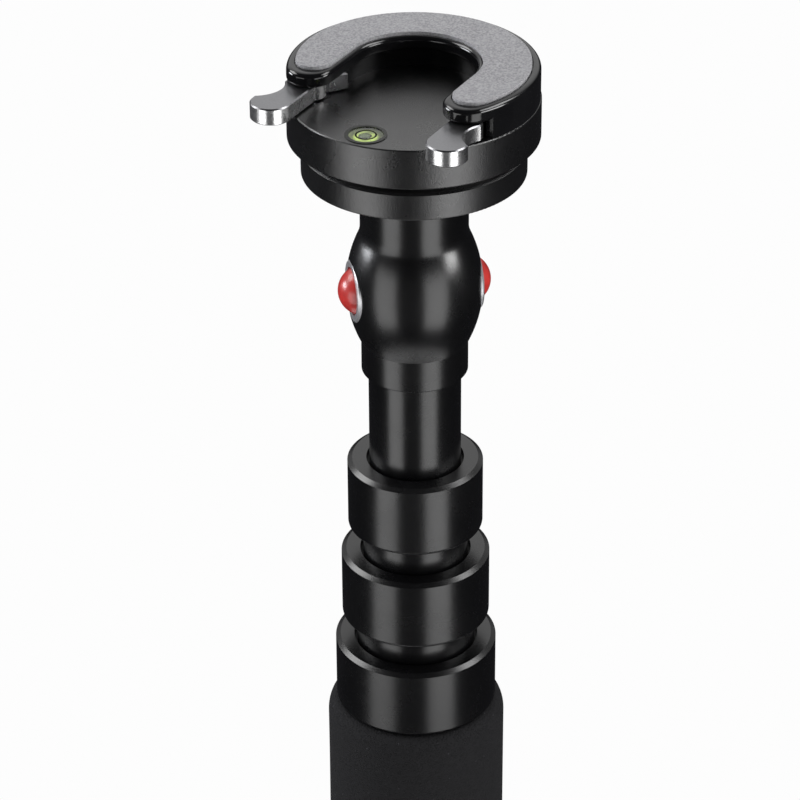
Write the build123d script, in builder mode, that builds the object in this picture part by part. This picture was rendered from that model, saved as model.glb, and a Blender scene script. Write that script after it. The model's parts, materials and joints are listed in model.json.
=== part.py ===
from build123d import *
import os
from math import asin, cos, degrees, hypot, radians, sin, sqrt

# A telescopic camera pole with a quick-release head, standing on a folding three-leg base.
# Millimetres, +Z up. The origin is at ground level on the pole's axis.

# Fits and gaps shared by the pieces
running_fit = 0.05       # radial play of a slide or a hinge pin
free_gap = 0.3           # gap between pieces that pass each other
thread_play = 0.1        # radial play of a screw in a plain hole
small_edge = 0.3         # broken edge of a turned piece
lead_in = 1.0            # chamfer where a piece is pushed into another

# Pole tubes, from the outer one in the grip to the thin one under the head
outer_tube_od = 28.0
tube_step = 3.0          # each tube inside is this much thinner
tube_wall = 1.2
outer_tube_length = 327.8
bush_flange = 4.0
bush_depth = 8.0
plug_overhang = 3.0      # the plug's flange outside the outer tube
plug_flange = 6.0
plug_depth = 18.0

# Twist locks, from the one on the outer tube upwards
nut_heights = (15.5, 15.65, 15.7)
nut_wall = 1.6
nut_hole_gap = 0.65      # the dark ring round each tube
nut_chamfer = 1.0
nut_chamfer_drop = 0.63
nut_edge = 0.8
lock_gaps = (6.0, 6.45)  # bare tube between one nut and the next
ferrule_wall = 1.2
ferrule_height = 11.0
tube_below_nut_top = 4.0
collet_height = 2.6
collet_slit = 1.5

# Foam grip on the outer tube
grip_wall = 5.04
grip_length = 217.0
grip_edge = 2.2
grip_ring_wall = 3.5
grip_ring_height = 4.0

# Spigot on the top tube, and the coupling body with its two push buttons
top_tube_shown = 21.3
collar_overhang = 1.4    # the spigot's collar outside its tube
collar_height = 6.4
spigot_plug = 16.0
post_above_latch = 8.0
coupling_height = 38.55
coupling_wall = 1.3
sleeve_wall = 2.0
latch_height = 12.75     # button axis above the coupling's lower end
latch_play = 0.5
groove_depth = 1.3
latch_thickness = 2.1
latch_split = 0.2        # each plate starts this far from the button axis
bulge_wall = 2.45
bulge_arc = 27.0
neck_blend = 6.0
button_angle = 13.1      # the buttons are turned this far from the X axis
button_radius = 4.65
dome_height = 3.0
dome_inset = 0.28        # a dome's foot inside its bezel's face
bezel_radius = 6.45
bezel_thickness = 1.4
bezel_inset = 0.85
button_spring_wire = 0.5
button_spring_turns = 2

# Head: neck flange, washer, head disc and the screws through them
flange_radius = 22.4
flange_thickness = 5.65
flange_chamfer = 0.4
washer_radius = 20.5
washer_thickness = 2.2
head_radius = 25.0
head_thickness = 8.3
floor_skin = 2.0         # left between the centre bolt and the floor of the mouth
bolt_radius = 3.0
bolt_head_radius = 5.0
bolt_head_height = 4.4
ring_screw_radius = 1.5
ring_screw_head = 2.75
ring_screw_head_height = 2.0
ring_screw_circle = 19.5
ring_screw_angles = (-115.0, 115.0, 180.0)

# Jaw ring on the head disc, with its mouth towards mouth_angle
mouth_angle = -118.5
socket_radius = 12.4
socket_undercut = 1.4    # the wall stands back this far under the plate
ring_inset = 0.2
tip_front = 15.0         # how far the tips reach forwards of the axis
plate_thickness = 2.95
plate_edge = 1.0
plate_under_edge = 0.8
pad_outer_border = 1.8
pad_inner_border = 1.1
pad_front_border = 2.7
pad_groove = 0.3
pad_depth = 1.0
pad_stand = 0.6
plate_skin = 0.9         # left between the pad and the screws and pins below it

# Levers, in the mouth's own axes: forwards and sideways from the pole's axis
lever_thickness = 3.45
lever_floor_gap = 0.25
lever_roof_gap = 0.15
lever_edge = 0.25
lever_hub = 2.9
lever_pocket = 8.4
pocket_skin = 1.3
finger_reach = 26.3
finger_width = 8.1
finger_corner = 3.95
lever_inset = 1.3       # inner side of a finger outside the undercut
lever_pin_radius = 1.5
lever_pin_depth = 4.5
spring_seat = 0.9        # the lever's back outside its pin, where the spring stands
lever_spring_radius = 1.15
lever_spring_wire = 0.4
lever_spring_turns = 5

# Bubble level in the floor of the mouth
level_reach = 20.1
level_side = 0.5
level_radius = 4.1
level_wall = 0.7
level_depth = 4.0
level_window = 0.8
level_stand = 0.15

# Three-leg base
leg_angles = {"front": 270.0, "right": 30.0, "left": 150.0}
leg_length = 180.0
leg_width = 11.8
leg_root_height = 11.0
leg_tip_height = 8.0
leg_channel_width = 7.0
leg_roof = 2.2
leg_edge = 0.8
stop_length = 4.5        # flat top of the lug that meets the hub
stop_slope = 4.0
knuckle_radius = 6.0
pin_circle = 16.0
pin_height = 48.0
leg_pin_radius = 2.0
leg_pin_inset = 1.0
tip_height = 11.5        # middle of the leg's tip above the ground
boss_radius = 5.0
peg_radius = 3.2
foot_radius = 7.0
foot_height = 7.0
foot_floor = 2.0
foot_shelf = 4.6
foot_edge = 1.0
hub_skirt = 7.0          # hub below the leg pins
hub_roof = 11.4          # solid top of the hub above the slots
hub_chamfer = 3.0
hub_bolt_radius = 4.7
hub_bolt_head = 6.5
hub_bolt_head_height = 4.5
hub_bolt_reach = 18.0
base_washer_thickness = 2.0


def ring(outer, inner, bottom, top):
    """A plain ring round the pole's axis."""
    with BuildPart() as piece:
        with BuildSketch(Plane.XY.offset(bottom)):
            Circle(outer)
            Circle(inner, mode=Mode.SUBTRACT)
        extrude(amount=top - bottom)
    return piece


def turned(points):
    """A piece turned round the pole's axis, from its half section as (radius, height) points."""
    with BuildPart() as piece:
        with BuildSketch(Plane.XZ):
            with BuildLine():
                Polyline(*points, close=True)
            make_face()
        revolve(axis=Axis.Z)
    return piece


def coil(wire, radius, length, turns, start, direction):
    """A coil spring of the given wire thickness, outer radius and free length."""
    pitch = (length - wire) / turns
    axis = Vector(*direction).normalized()
    foot = Vector(*start) + axis * (wire / 2)
    with BuildPart() as piece:
        with BuildLine() as path:
            Helix(pitch, length - wire, radius - wire / 2, center=foot, direction=axis)
        with BuildSketch(Plane(origin=path.line @ 0, z_dir=path.line % 0)):
            Circle(wire / 2)
        sweep(path=path.line, is_frenet=True)
    return piece


def leg_directions(angle):
    """The level directions along a leg's length and along its pin, for the leg's compass angle."""
    outward = Vector(cos(radians(angle)), sin(radians(angle)), 0)
    across = Vector(sin(radians(angle)), -cos(radians(angle)), 0)
    return outward, across


os.makedirs("parts", exist_ok=True)

# Base: heights from the ground up
hub_bottom = pin_height - hub_skirt
slot_roof = pin_height + knuckle_radius + 2 * free_gap
hub_top = slot_roof + hub_roof
hub_radius = pin_circle + knuckle_radius
slot_width = leg_width + 2 * free_gap
slot_start = pin_circle - knuckle_radius - 2 * free_gap
plug_bottom = hub_top + base_washer_thickness
outer_tube_bottom = plug_bottom + plug_flange
leg_drop = degrees(asin((pin_height - tip_height) / leg_length))
leg_pin_half = sqrt(hub_radius**2 - pin_circle**2) - leg_pin_inset
channel_start = 2 * leg_root_height
channel_end = leg_length - 2 * foot_radius
plug_flange_radius = outer_tube_od / 2 + plug_overhang

with BuildPart() as base_hub:
    with BuildSketch(Plane.XY.offset(hub_bottom)):
        Circle(hub_radius)
    extrude(amount=hub_top - hub_bottom)
    chamfer(base_hub.edges().group_by(Axis.Z)[-1], hub_chamfer)
    for angle in leg_angles.values():
        outward, across = leg_directions(angle)
        slot_middle = (slot_start + hub_radius + knuckle_radius) / 2
        slot_length = hub_radius + knuckle_radius - slot_start
        with BuildSketch(Plane(origin=(0, 0, hub_bottom), x_dir=outward, z_dir=(0, 0, 1))):
            with Locations((slot_middle, 0)):
                Rectangle(slot_length, slot_width)
        extrude(amount=slot_roof - hub_bottom, mode=Mode.SUBTRACT)
        pin_place = outward * pin_circle + Vector(0, 0, pin_height)
        with BuildSketch(Plane(origin=pin_place, x_dir=outward, z_dir=across)):
            Circle(leg_pin_radius)
        extrude(amount=leg_pin_half, both=True, mode=Mode.SUBTRACT)
    with BuildSketch(Plane.XY.offset(hub_bottom)):
        Circle(hub_bolt_radius)
    extrude(amount=hub_top - hub_bottom, mode=Mode.SUBTRACT)
base_hub.part.label = "base_hub"
export_step(base_hub.part, "parts/base_hub.step")

hub_bolt_top = plug_bottom + hub_bolt_reach
with BuildPart() as hub_bolt:
    with BuildSketch(Plane.XY.offset(hub_bottom)):
        Circle(hub_bolt_head)
    extrude(amount=-hub_bolt_head_height)
    with BuildSketch(Plane.XY.offset(hub_bottom)):
        Circle(hub_bolt_radius)
    extrude(amount=hub_bolt_top - hub_bottom)
    with BuildSketch(Plane.XY.offset(hub_bottom - hub_bolt_head_height)):
        RegularPolygon(hub_bolt_head / 2, 6)
    extrude(amount=hub_bolt_head_height / 2, mode=Mode.SUBTRACT)
hub_bolt.part.label = "hub_bolt"
export_step(hub_bolt.part, "parts/hub_bolt.step")

base_washer = ring(plug_flange_radius, hub_bolt_radius, hub_top, plug_bottom)
base_washer.part.label = "base_washer"
export_step(base_washer.part, "parts/base_washer.step")

for name, angle in leg_angles.items():
    outward, across = leg_directions(angle)
    along = outward * cos(radians(leg_drop)) - Vector(0, 0, sin(radians(leg_drop)))
    pin_place = outward * pin_circle + Vector(0, 0, pin_height)
    tip_place = pin_place + along * leg_length
    foot_place = Vector(tip_place.X, tip_place.Y, 0)
    side = Plane(origin=pin_place, x_dir=along, z_dir=across)
    upright = Plane(origin=pin_place, x_dir=outward, z_dir=across)

    with BuildPart() as leg:
        with BuildSketch(side):
            with BuildLine():
                Polyline(
                    (0, leg_root_height / 2),
                    (leg_length, leg_tip_height / 2),
                    (leg_length, -leg_tip_height / 2),
                    (0, -leg_root_height / 2),
                    close=True,
                )
            make_face()
        extrude(amount=leg_width / 2, both=True)
        chamfer(leg.edges().filter_by(lambda e: e.length > leg_length / 2), leg_edge)
        with BuildSketch(side):
            Circle(knuckle_radius)
        extrude(amount=leg_width / 2, both=True)
        # Stop that meets the slot's roof when the leg is spread
        with BuildSketch(upright):
            with BuildLine():
                Polyline(
                    (-stop_slope / 2, knuckle_radius / 2),
                    (0, slot_roof - pin_height - free_gap),
                    (stop_length, slot_roof - pin_height - free_gap),
                    (stop_length + stop_slope, knuckle_radius / 3),
                    close=True,
                )
            make_face()
        extrude(amount=leg_width / 2 - leg_edge, both=True)
        # Channel in the underside
        with BuildSketch(side):
            with BuildLine():
                Polyline(
                    (channel_start, leg_root_height / 2 - leg_roof),
                    (channel_end, leg_tip_height / 2 - leg_roof),
                    (channel_end, -leg_root_height),
                    (channel_start, -leg_root_height),
                    close=True,
                )
            make_face()
        extrude(amount=leg_channel_width / 2, both=True, mode=Mode.SUBTRACT)
        # Round tip with the shank and the peg that hold the rubber foot
        with BuildSketch(Plane(origin=foot_place + Vector(0, 0, foot_height))):
            Circle(leg_width / 2)
        extrude(amount=tip_height + leg_tip_height / 2 - foot_height)
        with BuildSketch(Plane(origin=foot_place + Vector(0, 0, foot_shelf))):
            Circle(boss_radius)
        extrude(amount=foot_height - foot_shelf)
        with BuildSketch(Plane(origin=foot_place + Vector(0, 0, foot_floor))):
            Circle(peg_radius)
        extrude(amount=foot_shelf - foot_floor)
        with BuildSketch(side):
            Circle(leg_pin_radius + running_fit)
        extrude(amount=leg_width, both=True, mode=Mode.SUBTRACT)
    leg.part.label = f"{name}_leg"
    export_step(leg.part, f"parts/{name}_leg.step")

    with BuildPart() as leg_pin:
        with BuildSketch(upright):
            Circle(leg_pin_radius)
        extrude(amount=leg_pin_half, both=True)
    leg_pin.part.label = f"{name}_leg_pin"
    export_step(leg_pin.part, f"parts/{name}_leg_pin.step")

    with BuildPart() as foot:
        with BuildSketch(Plane(origin=foot_place)):
            Circle(foot_radius)
        extrude(amount=foot_height)
        fillet(foot.edges().group_by(Axis.Z)[0], foot_edge)
        with BuildSketch(Plane(origin=foot_place + Vector(0, 0, foot_shelf))):
            Circle(boss_radius)
        extrude(amount=foot_height, mode=Mode.SUBTRACT)
        with BuildSketch(Plane(origin=foot_place + Vector(0, 0, foot_floor))):
            Circle(peg_radius)
        extrude(amount=foot_height, mode=Mode.SUBTRACT)
    foot.part.label = f"{name}_foot"
    export_step(foot.part, f"parts/{name}_foot.step")

# Pole: the four tubes and the heights of their ends
tube_radii = [(outer_tube_od - i * tube_step) / 2 for i in range(4)]
bores = [radius - tube_wall for radius in tube_radii]
outer_tube_top = outer_tube_bottom + outer_tube_length
nut_tops = [outer_tube_top + tube_below_nut_top]
for gap, height in zip(lock_gaps, nut_heights[1:]):
    nut_tops.append(nut_tops[-1] + gap + height)
nut_bottoms = [top - height for top, height in zip(nut_tops, nut_heights)]
spigot_bottom = nut_tops[-1] + top_tube_shown
tube_tops = [top - tube_below_nut_top for top in nut_tops] + [spigot_bottom]
plug_top = outer_tube_bottom + plug_depth
bush_bottoms = [plug_top + free_gap + i * (bush_flange + bush_depth + free_gap) for i in range(3)]
tube_bottoms = [outer_tube_bottom] + [bottom + bush_flange for bottom in bush_bottoms]

with BuildPart() as end_plug:
    with BuildSketch(Plane.XY.offset(plug_bottom)):
        Circle(plug_flange_radius)
    extrude(amount=plug_flange)
    chamfer(end_plug.edges().group_by(Axis.Z)[-1], lead_in)
    with BuildSketch(Plane.XY.offset(outer_tube_bottom)):
        Circle(bores[0])
    extrude(amount=plug_depth)
    with BuildSketch(Plane.XY.offset(plug_bottom)):
        Circle(hub_bolt_radius)
    extrude(amount=hub_bolt_reach + free_gap, mode=Mode.SUBTRACT)
end_plug.part.label = "end_plug"
export_step(end_plug.part, "parts/end_plug.step")

tube_names = ("outer_tube", "second_tube", "third_tube", "top_tube")
for name, radius, bore, bottom, top in zip(tube_names, tube_radii, bores, tube_bottoms, tube_tops):
    tube = ring(radius, bore, bottom, top)
    tube.part.label = name
    export_step(tube.part, f"parts/{name}.step")

# A bush is plugged into each inner tube's lower end, and runs in the tube around it
bush_names = ("second_guide_bush", "third_guide_bush", "top_guide_bush")
for i, name in enumerate(bush_names):
    bottom = bush_bottoms[i]
    shoulder = bottom + bush_flange
    end = shoulder + bush_depth
    outside = bores[i] - running_fit
    inside = bores[i + 1]
    hollow = inside - tube_wall
    bush = turned([
        (hollow, bottom), (outside, bottom), (outside, shoulder),
        (inside, shoulder), (inside, end), (hollow, end),
    ])
    bush.part.label = name
    export_step(bush.part, f"parts/{name}.step")

# Twist locks: a ferrule on the outer tube, a split collet round the inner one, a nut over both
lock_names = ("lower", "middle", "upper")
for i, name in enumerate(lock_names):
    tube_radius = tube_radii[i]
    inner_radius = tube_radii[i + 1]
    rim = tube_tops[i]
    ferrule_radius = tube_radius + ferrule_wall
    nut_bore = ferrule_radius + free_gap
    nut_radius = nut_bore + nut_wall
    nut_hole = inner_radius + nut_hole_gap
    collet_foot = ferrule_radius - running_fit
    collet_top = rim + collet_height
    collet_crown = (collet_foot + nut_hole) / 2

    ferrule = ring(ferrule_radius, tube_radius, rim - ferrule_height, rim)
    ferrule.part.label = f"{name}_ferrule"
    export_step(ferrule.part, f"parts/{name}_ferrule.step")

    with BuildPart() as collet:
        with BuildSketch(Plane.XZ):
            with BuildLine():
                Polyline(
                    (inner_radius + running_fit, rim), (collet_foot, rim),
                    (collet_crown, collet_top), (inner_radius + running_fit, collet_top),
                    close=True,
                )
            make_face()
        revolve(axis=Axis.Z)
        with BuildSketch(Plane.XY.offset(rim)):
            with Locations((0, nut_radius / 2)):
                Rectangle(collet_slit, nut_radius)
        extrude(amount=collet_height, mode=Mode.SUBTRACT)
    collet.part.label = f"{name}_collet"
    export_step(collet.part, f"parts/{name}_collet.step")

    with BuildPart() as nut:
        with BuildSketch(Plane.XZ):
            with BuildLine():
                Polyline(
                    (nut_bore, nut_bottoms[i]), (nut_radius, nut_bottoms[i]),
                    (nut_radius, nut_tops[i] - nut_chamfer_drop),
                    (nut_radius - nut_chamfer, nut_tops[i]), (nut_hole, nut_tops[i]),
                    (nut_hole, collet_top + free_gap), (collet_crown + free_gap, collet_top + free_gap),
                    (nut_bore, rim), close=True,
                )
            make_face()
        revolve(axis=Axis.Z)
        outside = nut.edges().filter_by(GeomType.CIRCLE).filter_by(lambda e: e.radius > nut_radius - 0.01)
        fillet(outside.sort_by(Axis.Z)[0], nut_edge)
    nut.part.label = f"{name}_lock_nut"
    export_step(nut.part, f"parts/{name}_lock_nut.step")

# Foam grip on the outer tube, ending just under the lowest nut
grip_top = nut_bottoms[0] - free_gap
grip_bottom = grip_top - grip_length
grip_radius = tube_radii[0] + grip_wall
grip_ring_radius = tube_radii[0] + grip_ring_wall
with BuildPart() as foam_grip:
    with BuildSketch(Plane.XY.offset(grip_bottom)):
        Circle(grip_radius)
    extrude(amount=grip_length)
    fillet(foam_grip.edges(), grip_edge)
    with BuildSketch(Plane.XY.offset(grip_bottom)):
        Circle(tube_radii[0])
    extrude(amount=grip_length, mode=Mode.SUBTRACT)
foam_grip.part.label = "foam_grip"
export_step(foam_grip.part, "parts/foam_grip.step")

with BuildPart() as grip_end_ring:
    with BuildSketch(Plane.XY.offset(grip_bottom - grip_ring_height)):
        Circle(grip_ring_radius)
    extrude(amount=grip_ring_height)
    chamfer(grip_end_ring.edges().group_by(Axis.Z)[0], lead_in)
    with BuildSketch(Plane.XY.offset(grip_bottom - grip_ring_height)):
        Circle(tube_radii[0])
    extrude(amount=grip_ring_height, mode=Mode.SUBTRACT)
grip_end_ring.part.label = "grip_end_ring"
export_step(grip_end_ring.part, "parts/grip_end_ring.step")

# Coupling: radii from the top tube outwards, heights from the spigot upwards
neck_radius = tube_radii[3] + collar_overhang
sleeve_radius = neck_radius - coupling_wall
sleeve_bore = sleeve_radius - sleeve_wall
post_radius = sleeve_bore - free_gap
groove_radius = post_radius - groove_depth
latch_radius = sleeve_radius - free_gap
latch_hole = post_radius + latch_play
latch_offset = latch_hole - groove_radius - free_gap
button_travel = latch_offset + thread_play
cavity_radius = latch_radius + latch_offset + 2 * free_gap
bulge_radius = cavity_radius + bulge_wall
cavity_half = latch_split + latch_thickness + free_gap
coupling_bottom = spigot_bottom + collar_height
latch_level = coupling_bottom + latch_height
coupling_top = coupling_bottom + coupling_height
post_top = latch_level + post_above_latch
bolt_seat = post_top + free_gap + bolt_head_height
bezel_face = bulge_radius - bezel_inset
bezel_seat = bezel_face - bezel_thickness
button_bore = button_radius + free_gap
button_bore_end = sleeve_radius + free_gap + thread_play
button_inner = button_bore_end + button_travel + free_gap
dome_base = bezel_face - dome_inset
dome_sphere = (button_radius**2 + dome_height**2) / (2 * dome_height)
dome_turn = asin(button_radius / dome_sphere)

spigot = turned([
    (0, spigot_bottom - spigot_plug), (bores[3], spigot_bottom - spigot_plug),
    (bores[3], spigot_bottom), (neck_radius - small_edge, spigot_bottom),
    (neck_radius, spigot_bottom + small_edge),
    (neck_radius, coupling_bottom), (post_radius, coupling_bottom),
    (post_radius, latch_level - cavity_half), (groove_radius, latch_level - cavity_half),
    (groove_radius, latch_level + cavity_half), (post_radius, latch_level + cavity_half),
    (post_radius, post_top - lead_in), (post_radius - lead_in, post_top), (0, post_top),
])
spigot.part.label = "spigot"
export_step(spigot.part, "parts/spigot.step")

socket_sleeve = ring(sleeve_radius, sleeve_bore, coupling_bottom, latch_level - cavity_half)
socket_sleeve.part.label = "socket_sleeve"
export_step(socket_sleeve.part, "parts/socket_sleeve.step")

button_sides = {"left": 180.0 + button_angle, "right": button_angle}


def button_plane(side, reach):
    """The plane square to a button's axis, reach away from the pole's axis."""
    angle = radians(button_sides[side])
    outward = Vector(cos(angle), sin(angle), 0)
    return Plane(
        origin=outward * reach + Vector(0, 0, latch_level),
        x_dir=(-sin(angle), cos(angle), 0),
        z_dir=outward,
    )


bulge_half = sqrt(bulge_arc**2 - (bulge_arc - bulge_radius + neck_radius) ** 2)
with BuildPart() as coupling_body:
    with BuildSketch(Plane.XZ):
        with BuildLine():
            Line((0, coupling_top), (neck_radius, coupling_top))
            Line((neck_radius, coupling_top), (neck_radius, latch_level + bulge_half))
            ThreePointArc(
                (neck_radius, latch_level + bulge_half),
                (bulge_radius, latch_level),
                (neck_radius, latch_level - bulge_half),
            )
            Line((neck_radius, latch_level - bulge_half), (neck_radius, coupling_bottom))
            Line((neck_radius, coupling_bottom), (0, coupling_bottom))
            Line((0, coupling_bottom), (0, coupling_top))
        make_face()
    revolve(axis=Axis.Z)
    blend_level = latch_level + bulge_half
    fillet(coupling_body.edges().filter_by_position(Axis.Z, blend_level - 0.1, blend_level + 0.1), neck_blend)
    with BuildSketch(Plane.XZ):
        with BuildLine():
            Polyline(
                (0, coupling_bottom), (sleeve_radius, coupling_bottom),
                (sleeve_radius, latch_level - cavity_half), (cavity_radius, latch_level - cavity_half),
                (cavity_radius, latch_level + cavity_half), (sleeve_bore, latch_level + cavity_half),
                (sleeve_bore, post_top + free_gap), (bolt_head_radius + thread_play, post_top + free_gap),
                (bolt_head_radius + thread_play, bolt_seat), (bolt_radius + thread_play, bolt_seat),
                (bolt_radius + thread_play, coupling_top), (0, coupling_top), close=True,
            )
        make_face()
    revolve(axis=Axis.Z, mode=Mode.SUBTRACT)
    for side in button_sides:
        with BuildSketch(button_plane(side, button_bore_end)):
            Circle(button_bore)
        extrude(amount=bulge_radius, mode=Mode.SUBTRACT)
        with BuildSketch(button_plane(side, bezel_seat)):
            Circle(bezel_radius)
        extrude(amount=bulge_radius, mode=Mode.SUBTRACT)
coupling_body.part.label = "coupling_body"
export_step(coupling_body.part, "parts/coupling_body.step")

for side, side_of_split in (("left", -1), ("right", 1)):
    angle = radians(button_sides[side])
    outward = Vector(cos(angle), sin(angle), 0)
    with BuildPart() as bezel:
        with BuildSketch(button_plane(side, bezel_seat)):
            Circle(bezel_radius)
        extrude(amount=bezel_thickness)
        face_edge = bezel.edges().filter_by(GeomType.CIRCLE)
        chamfer(face_edge.sort_by(lambda e: hypot(e.arc_center.X, e.arc_center.Y))[-1], small_edge)
        with BuildSketch(button_plane(side, bezel_seat)):
            Circle(button_bore)
        extrude(amount=bezel_thickness, mode=Mode.SUBTRACT)
    bezel.part.label = f"{side}_bezel"
    export_step(bezel.part, f"parts/{side}_bezel.step")

    # A latch plate is a flat ring round the spigot's post, with a tab out to its button
    latch_plane = Plane(
        origin=(0, 0, latch_level + side_of_split * latch_split),
        x_dir=(cos(angle), sin(angle), 0),
        z_dir=(0, 0, 1),
    )
    with BuildPart() as latch_plate:
        with BuildSketch(latch_plane):
            with Locations((latch_offset, 0)):
                Circle(latch_radius)
            with Locations((button_inner / 2, 0)):
                Rectangle(button_inner, button_radius)
            with Locations((latch_offset, 0)):
                Circle(latch_hole, mode=Mode.SUBTRACT)
        extrude(amount=side_of_split * latch_thickness)
    latch_plate.part.label = f"{side}_latch_plate"
    export_step(latch_plate.part, f"parts/{side}_latch_plate.step")

    dome_middle = dome_base + dome_height - dome_sphere
    section = Plane(origin=(0, 0, latch_level), x_dir=outward, z_dir=(sin(angle), -cos(angle), 0))
    with BuildPart() as button:
        with BuildSketch(section):
            with BuildLine():
                Polyline(
                    (dome_base + dome_height, 0), (button_inner, 0),
                    (button_inner, button_radius), (dome_base, button_radius),
                )
                ThreePointArc(
                    (dome_base, button_radius),
                    (dome_middle + dome_sphere * cos(dome_turn / 2), dome_sphere * sin(dome_turn / 2)),
                    (dome_base + dome_height, 0),
                )
            make_face()
        revolve(axis=Axis(origin=(0, 0, latch_level), direction=outward))
    button.part.label = f"{side}_button"
    export_step(button.part, f"parts/{side}_button.step")

    button_spring = coil(
        button_spring_wire, button_radius - thread_play, button_inner - button_bore_end,
        button_spring_turns, outward * button_bore_end + Vector(0, 0, latch_level), outward,
    )
    button_spring.part.label = f"{side}_button_spring"
    export_step(button_spring.part, f"parts/{side}_button_spring.step")

# Head: heights from the coupling upwards
flange_top = coupling_top + flange_thickness
disc_bottom = flange_top + washer_thickness
floor = disc_bottom + head_thickness
lever_bottom = floor + lever_floor_gap
plate_bottom = lever_bottom + lever_thickness + lever_roof_gap
plate_top = plate_bottom + plate_thickness

with BuildPart() as neck_flange:
    with BuildSketch(Plane.XY.offset(coupling_top)):
        Circle(flange_radius)
    extrude(amount=flange_thickness)
    chamfer(neck_flange.edges().group_by(Axis.Z)[-1], flange_chamfer)
    fillet(neck_flange.edges().group_by(Axis.Z)[0], small_edge)
    with BuildSketch(Plane.XY.offset(coupling_top)):
        Circle(bolt_radius + thread_play)
    extrude(amount=flange_thickness, mode=Mode.SUBTRACT)
neck_flange.part.label = "neck_flange"
export_step(neck_flange.part, "parts/neck_flange.step")

spacer_washer = ring(washer_radius, bolt_radius + thread_play, flange_top, disc_bottom)
spacer_washer.part.label = "spacer_washer"
export_step(spacer_washer.part, "parts/spacer_washer.step")

bolt_top = floor - floor_skin
with BuildPart() as centre_bolt:
    with BuildSketch(Plane.XY.offset(bolt_seat - bolt_head_height)):
        Circle(bolt_head_radius)
    extrude(amount=bolt_head_height)
    with BuildSketch(Plane.XY.offset(bolt_seat)):
        Circle(bolt_radius)
    extrude(amount=bolt_top - bolt_seat)
    with BuildSketch(Plane.XY.offset(bolt_seat - bolt_head_height)):
        RegularPolygon(bolt_head_radius / 2, 6)
    extrude(amount=bolt_head_height / 2, mode=Mode.SUBTRACT)
centre_bolt.part.label = "centre_bolt"
export_step(centre_bolt.part, "parts/centre_bolt.step")

# The mouth's axes: x forwards out of the mouth, y to its right
mouth = Plane(
    origin=(0, 0, 0),
    x_dir=(cos(radians(mouth_angle)), sin(radians(mouth_angle)), 0),
    z_dir=(0, 0, 1),
)
ring_radius = head_radius - ring_inset
wall_radius = socket_radius + socket_undercut


def tip_circle(outer, inner, front):
    """Centre and radius of the tip that touches a U's outer arc and its straight inner side."""
    span = outer + inner - front
    radius = sqrt(span**2 - front**2 - inner**2 + outer**2) - span
    return front - radius, inner + radius, radius


def u_outline(outer, inner, front):
    """A U seen from above: an outer arc, a round inner end with straight sides, and round tips."""
    tip_x, tip_y, tip = tip_circle(outer, inner, front)
    touch_x = tip_x * outer / (outer - tip)
    touch_y = tip_y * outer / (outer - tip)
    with BuildSketch() as outline:
        with BuildLine():
            ThreePointArc((touch_x, touch_y), (-outer, 0), (touch_x, -touch_y))
            ThreePointArc((touch_x, -touch_y), (front, -tip_y), (tip_x, -inner))
            Line((tip_x, -inner), (0, -inner))
            ThreePointArc((0, -inner), (-inner, 0), (0, inner))
            Line((0, inner), (tip_x, inner))
            ThreePointArc((tip_x, inner), (front, tip_y), (touch_x, touch_y))
        make_face()
    return outline.sketch


pivot_x, pivot_y, tip_radius = tip_circle(ring_radius, socket_radius, tip_front)
wall_end = pivot_x
pad_outer = ring_radius - pad_outer_border
pad_inner = socket_radius + pad_inner_border
pad_front = tip_front - pad_front_border
ring_screw_top = plate_top - pad_depth - plate_skin
screw_places = [
    (ring_screw_circle * cos(radians(a)), ring_screw_circle * sin(radians(a))) for a in ring_screw_angles
]
pivot_places = [(pivot_x, -pivot_y), (pivot_x, pivot_y)]
lever_pin_bottom = floor - lever_pin_depth
lever_pin_top = plate_top - pad_depth - plate_skin

with BuildPart() as head_disc:
    with BuildSketch(Plane.XY.offset(disc_bottom)):
        Circle(head_radius)
    extrude(amount=head_thickness)
    chamfer(head_disc.edges().group_by(Axis.Z)[0], small_edge)
    fillet(head_disc.edges().group_by(Axis.Z)[-1], small_edge)
    with BuildSketch(Plane.XY.offset(disc_bottom)):
        Circle(bolt_radius)
    extrude(amount=bolt_top - disc_bottom, mode=Mode.SUBTRACT)
    with BuildSketch(mouth.offset(disc_bottom)):
        with Locations(*screw_places):
            Circle(ring_screw_head + thread_play)
    extrude(amount=ring_screw_head_height, mode=Mode.SUBTRACT)
    with BuildSketch(mouth.offset(disc_bottom)):
        with Locations(*screw_places):
            Circle(ring_screw_radius)
    extrude(amount=head_thickness, mode=Mode.SUBTRACT)
    with BuildSketch(mouth.offset(lever_pin_bottom)):
        with Locations(*pivot_places):
            Circle(lever_pin_radius)
    extrude(amount=lever_pin_depth, mode=Mode.SUBTRACT)
    with BuildSketch(mouth.offset(floor - level_depth)):
        with Locations((level_reach, level_side)):
            Circle(level_radius)
    extrude(amount=level_depth, mode=Mode.SUBTRACT)
head_disc.part.label = "head_disc"
export_step(head_disc.part, "parts/head_disc.step")

with BuildPart() as ring_screws:
    with BuildSketch(mouth.offset(disc_bottom)):
        with Locations(*screw_places):
            Circle(ring_screw_head)
    extrude(amount=ring_screw_head_height)
    with BuildSketch(mouth.offset(disc_bottom)):
        with Locations(*screw_places):
            Circle(ring_screw_radius)
    extrude(amount=ring_screw_top - disc_bottom)
ring_screws.part.label = "ring_screws"
export_step(ring_screws.part, "parts/ring_screws.step")

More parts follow.
